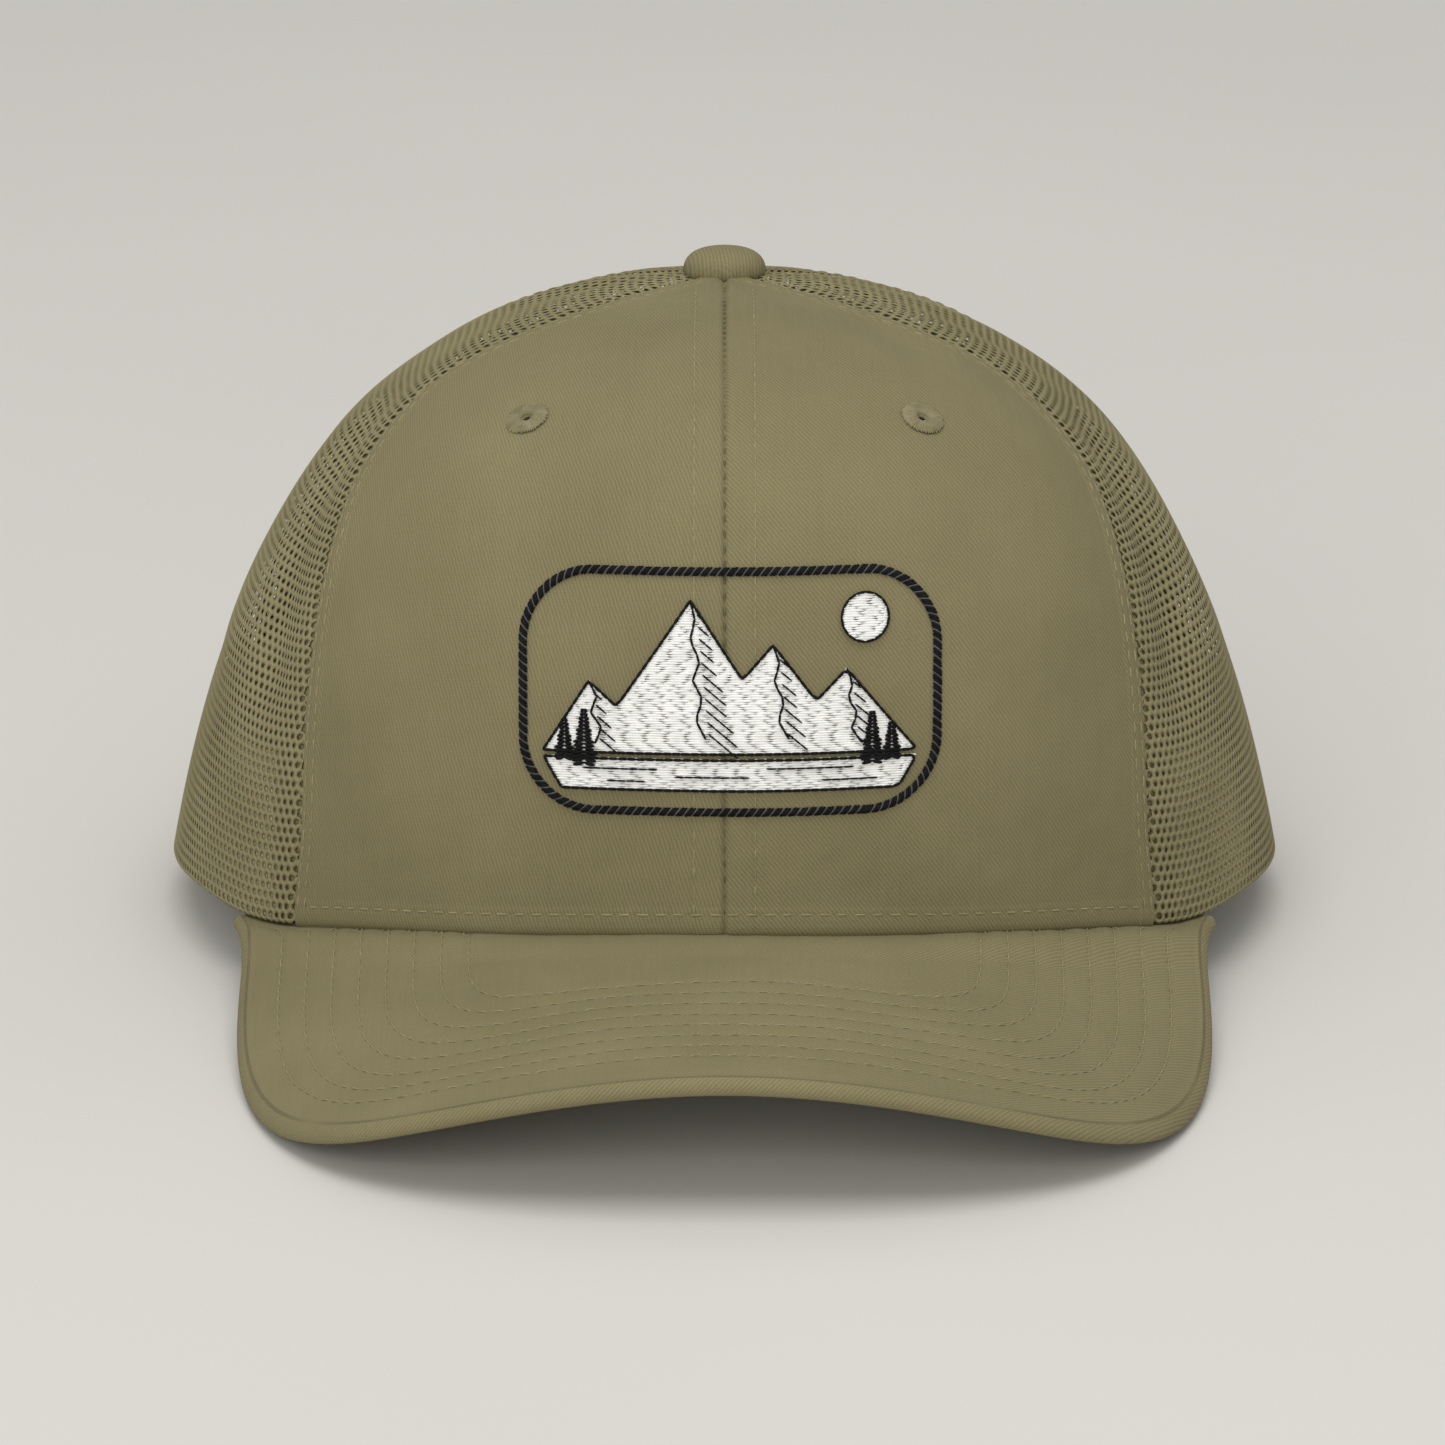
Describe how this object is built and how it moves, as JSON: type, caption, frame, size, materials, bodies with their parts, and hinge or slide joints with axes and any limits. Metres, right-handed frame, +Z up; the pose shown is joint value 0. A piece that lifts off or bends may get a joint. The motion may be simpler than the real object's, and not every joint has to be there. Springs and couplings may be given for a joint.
{
  "type": "trucker mesh cap",
  "caption": "Structured cap with a twill front, mesh sides and back, a covered top button, a curved stitched visor and a snap strap closure across an arched back opening.",
  "frame": {"origin": "bottom centre of the bounding box, with the cap standing on the two front corners of its visor and its back hem", "axes": "+Z up, +Y towards the back of the cap, -Y along the visor, +X to the right as seen from the front"},
  "size_m": [0.1928, 0.2518, 0.1133],
  "materials": {
    "olive_twill": "cotton twill, matt",
    "olive_mesh": "knitted polyester mesh, slight sheen",
    "white_buckram": "stiffened woven scrim",
    "olive_tape": "woven cotton tape",
    "olive_sweatband": "soft brushed cotton",
    "olive_plastic": "moulded, satin",
    "board_plastic": "smooth sheet",
    "pressed_metal": "pressed steel, plain",
    "olive_thread": "satin stitched thread",
    "charcoal_thread": "satin stitched thread",
    "white_thread": "satin stitched thread",
    "label_cloth": "woven ribbon, blank"
  },
  "bodies": {
    "cap": {"back_mesh_panel_left": "olive_mesh", "back_mesh_panel_right": "olive_mesh", "back_opening_binding": "olive_tape", "blank_label": "label_cloth", "button_clinch": "pressed_metal", "button_cover": "olive_twill", "button_post": "pressed_metal", "button_shell": "pressed_metal", "embroidery_border": "charcoal_thread", "embroidery_ground": "white_thread", "embroidery_peaks": "white_thread", "eyelet_left": "olive_thread", "eyelet_right": "olive_thread", "front_buckram_left": "white_buckram", "front_buckram_right": "white_buckram", "front_panel_left": "olive_twill", "front_panel_right": "olive_twill", "hole_strap_tab": "olive_plastic", "seam_tape_back_centre": "olive_tape", "seam_tape_front_centre": "olive_tape", "seam_tape_front_left": "olive_tape", "seam_tape_front_right": "olive_tape", "seam_tape_rear_left": "olive_tape", "seam_tape_rear_right": "olive_tape", "side_mesh_panel_left": "olive_mesh", "side_mesh_panel_right": "olive_mesh", "stud_strap_tab": "olive_plastic", "sweatband_backing": "olive_sweatband", "sweatband_facing": "olive_sweatband", "visor_board": "board_plastic", "visor_edge_band": "olive_twill", "visor_top_cover": "olive_twill", "visor_under_cover": "olive_twill"},
    "hole_strap": {"hole_strap": "olive_plastic"},
    "stud_strap": {"stud_strap": "olive_plastic"}
  },
  "joints": [
    {"name": "hole_strap_bend", "type": "hinge", "parent": "cap", "child": "hole_strap", "pos_m": [0.0332, 0.11843, 0.0094], "axis": [0.0219, -0.0504, -0.9985], "range_deg": [0, 75]},
    {"name": "stud_strap_bend", "type": "hinge", "parent": "cap", "child": "stud_strap", "pos_m": [-0.0332, 0.11843, 0.0094], "axis": [-0.0219, -0.0504, -0.9985], "range_deg": [0, 35]}
  ]
}
